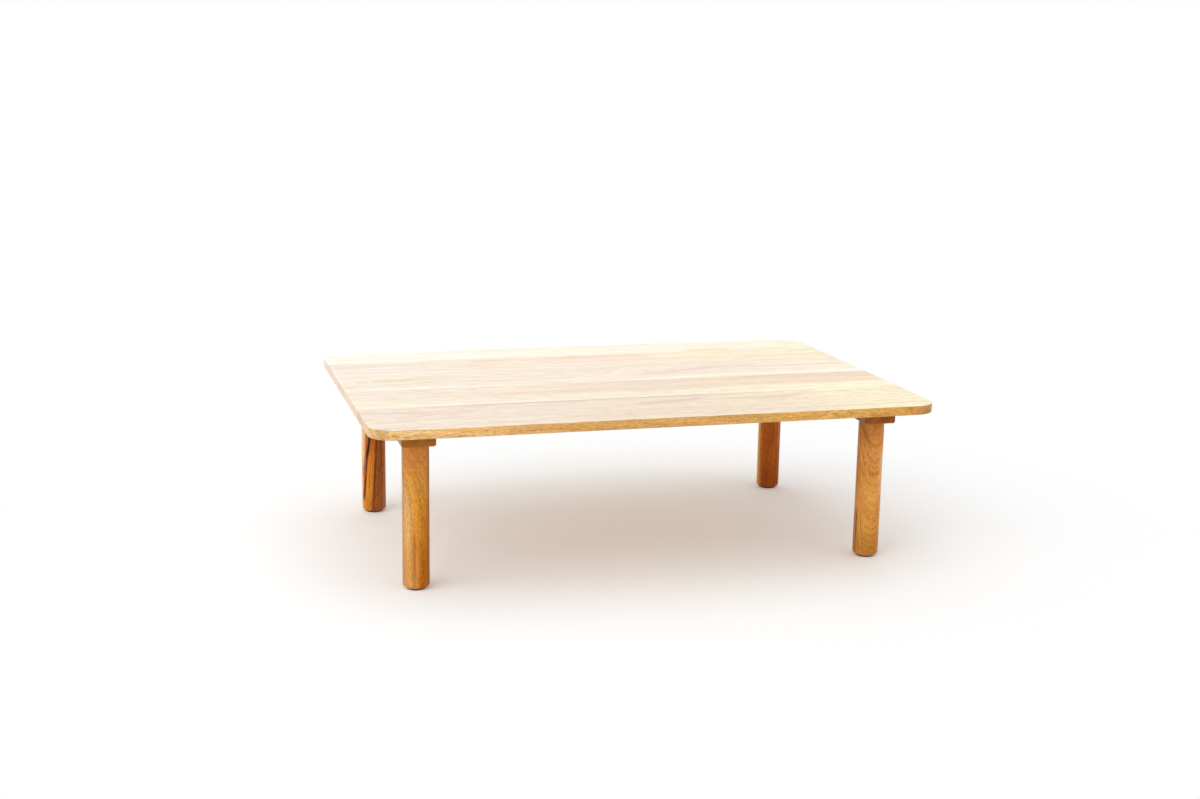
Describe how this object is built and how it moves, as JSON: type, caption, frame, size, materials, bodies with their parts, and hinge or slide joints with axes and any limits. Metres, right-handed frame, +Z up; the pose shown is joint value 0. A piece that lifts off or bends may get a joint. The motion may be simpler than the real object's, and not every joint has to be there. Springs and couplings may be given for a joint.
{
  "type": "low table",
  "caption": "Low rectangular wooden table with a rounded plank top, cross battens and plain round screw-in legs, used from the floor.",
  "frame": {"origin": "on the floor under the middle of the top", "axes": "+X along the length of the top, +Y from the front long side to the back, +Z up"},
  "size_m": [1.2, 0.8, 0.355],
  "materials": {
    "top_wood": "satin clear coat over pale mixed hardwood boards",
    "batten_wood": "satin clear coat over brown hardwood",
    "leg_wood": "satin clear coat over turned golden-brown hardwood",
    "zinc_steel": "bright zinc plate",
    "insert_steel": "yellow passivated zinc plate",
    "glide_plastic": "dark brown moulded polyethylene, finely grained"
  },
  "bodies": {
    "root": {"top_board_1": "top_wood", "top_board_2": "top_wood", "top_board_3": "top_wood", "top_board_4": "top_wood", "top_board_5": "top_wood", "batten_left": "batten_wood", "batten_right": "batten_wood", "leg_front_left": "leg_wood", "leg_back_left": "leg_wood", "leg_front_right": "leg_wood", "leg_back_right": "leg_wood", "hanger_bolt_front_left": "zinc_steel", "hanger_bolt_back_left": "zinc_steel", "hanger_bolt_front_right": "zinc_steel", "hanger_bolt_back_right": "zinc_steel", "threaded_insert_front_left": "insert_steel", "threaded_insert_back_left": "insert_steel", "threaded_insert_front_right": "insert_steel", "threaded_insert_back_right": "insert_steel", "batten_screws_left": "zinc_steel", "batten_screws_right": "zinc_steel", "batten_washers_left": "zinc_steel", "batten_washers_right": "zinc_steel", "glide_front_left": "glide_plastic", "glide_back_left": "glide_plastic", "glide_front_right": "glide_plastic", "glide_back_right": "glide_plastic"}
  },
  "joints": []
}
